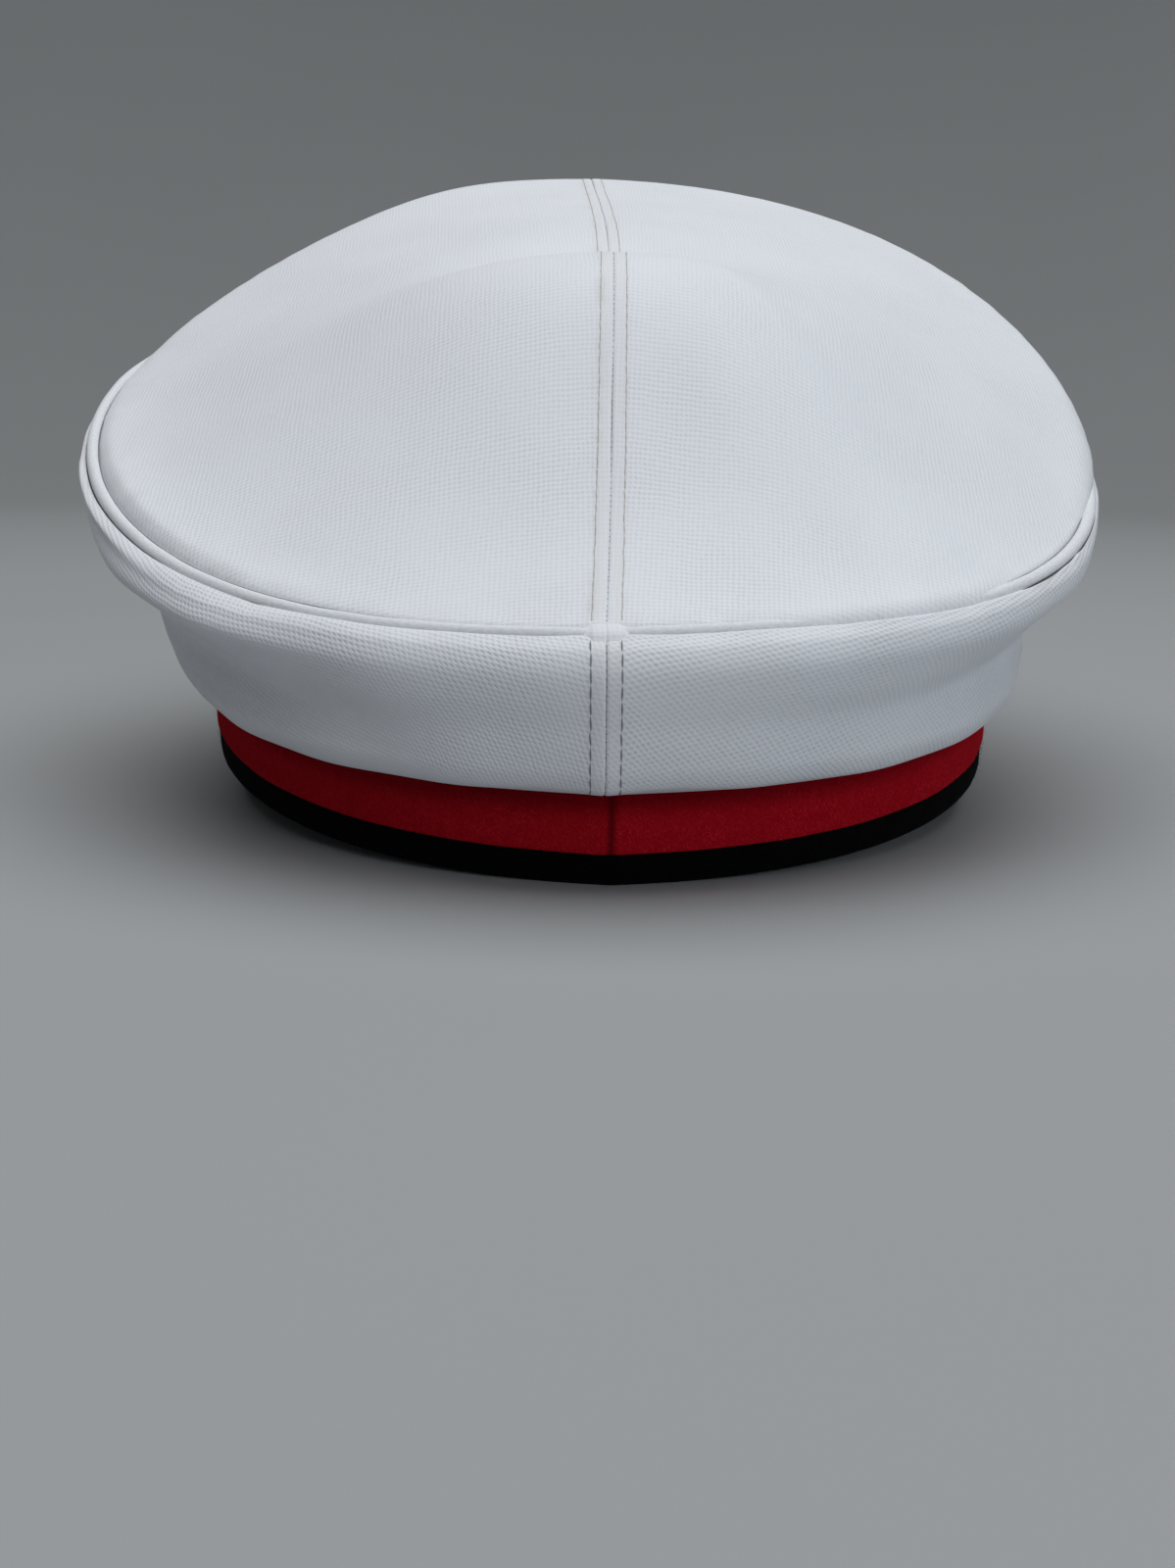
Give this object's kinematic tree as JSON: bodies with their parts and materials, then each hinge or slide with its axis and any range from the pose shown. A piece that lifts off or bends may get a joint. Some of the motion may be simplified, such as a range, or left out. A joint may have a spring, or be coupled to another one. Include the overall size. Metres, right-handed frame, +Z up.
{
  "type": "peaked cap",
  "caption": "Peaked cap with a soft, high-fronted crown, a piped rim, a felt-covered band, a stiff peak and a chin strap held by two buttons.",
  "frame": {"origin": "middle of the cap's box, on the surface that it stands on", "axes": "+Z up, +Y towards the back of the cap, -Y towards the peak, +X towards the wearer's left"},
  "size_m": [0.2202, 0.2702, 0.145],
  "materials": {
    "top_cloth": "white coated cloth with a fine embossed weave, satin",
    "side_cloth": "white coated cloth with a clear embossed weave, satin",
    "piping_cloth": "white coated cloth over a cord, satin",
    "red_felt": "deep red wool felt, matt",
    "black_cloth": "black felted wool, matt",
    "peak_leather": "black patent leather, glossy",
    "strap_leather": "black patent leather, glossy",
    "button_brass": "plain polished brass"
  },
  "bodies": {
    "root": {"top_left": "top_cloth", "top_right": "top_cloth", "side_left": "side_cloth", "side_right": "side_cloth", "piping": "piping_cloth", "band_body": "black_cloth", "band_felt": "red_felt", "peak": "peak_leather", "chin_strap": "strap_leather", "strap_button_left": "button_brass", "strap_button_right": "button_brass"}
  },
  "joints": []
}
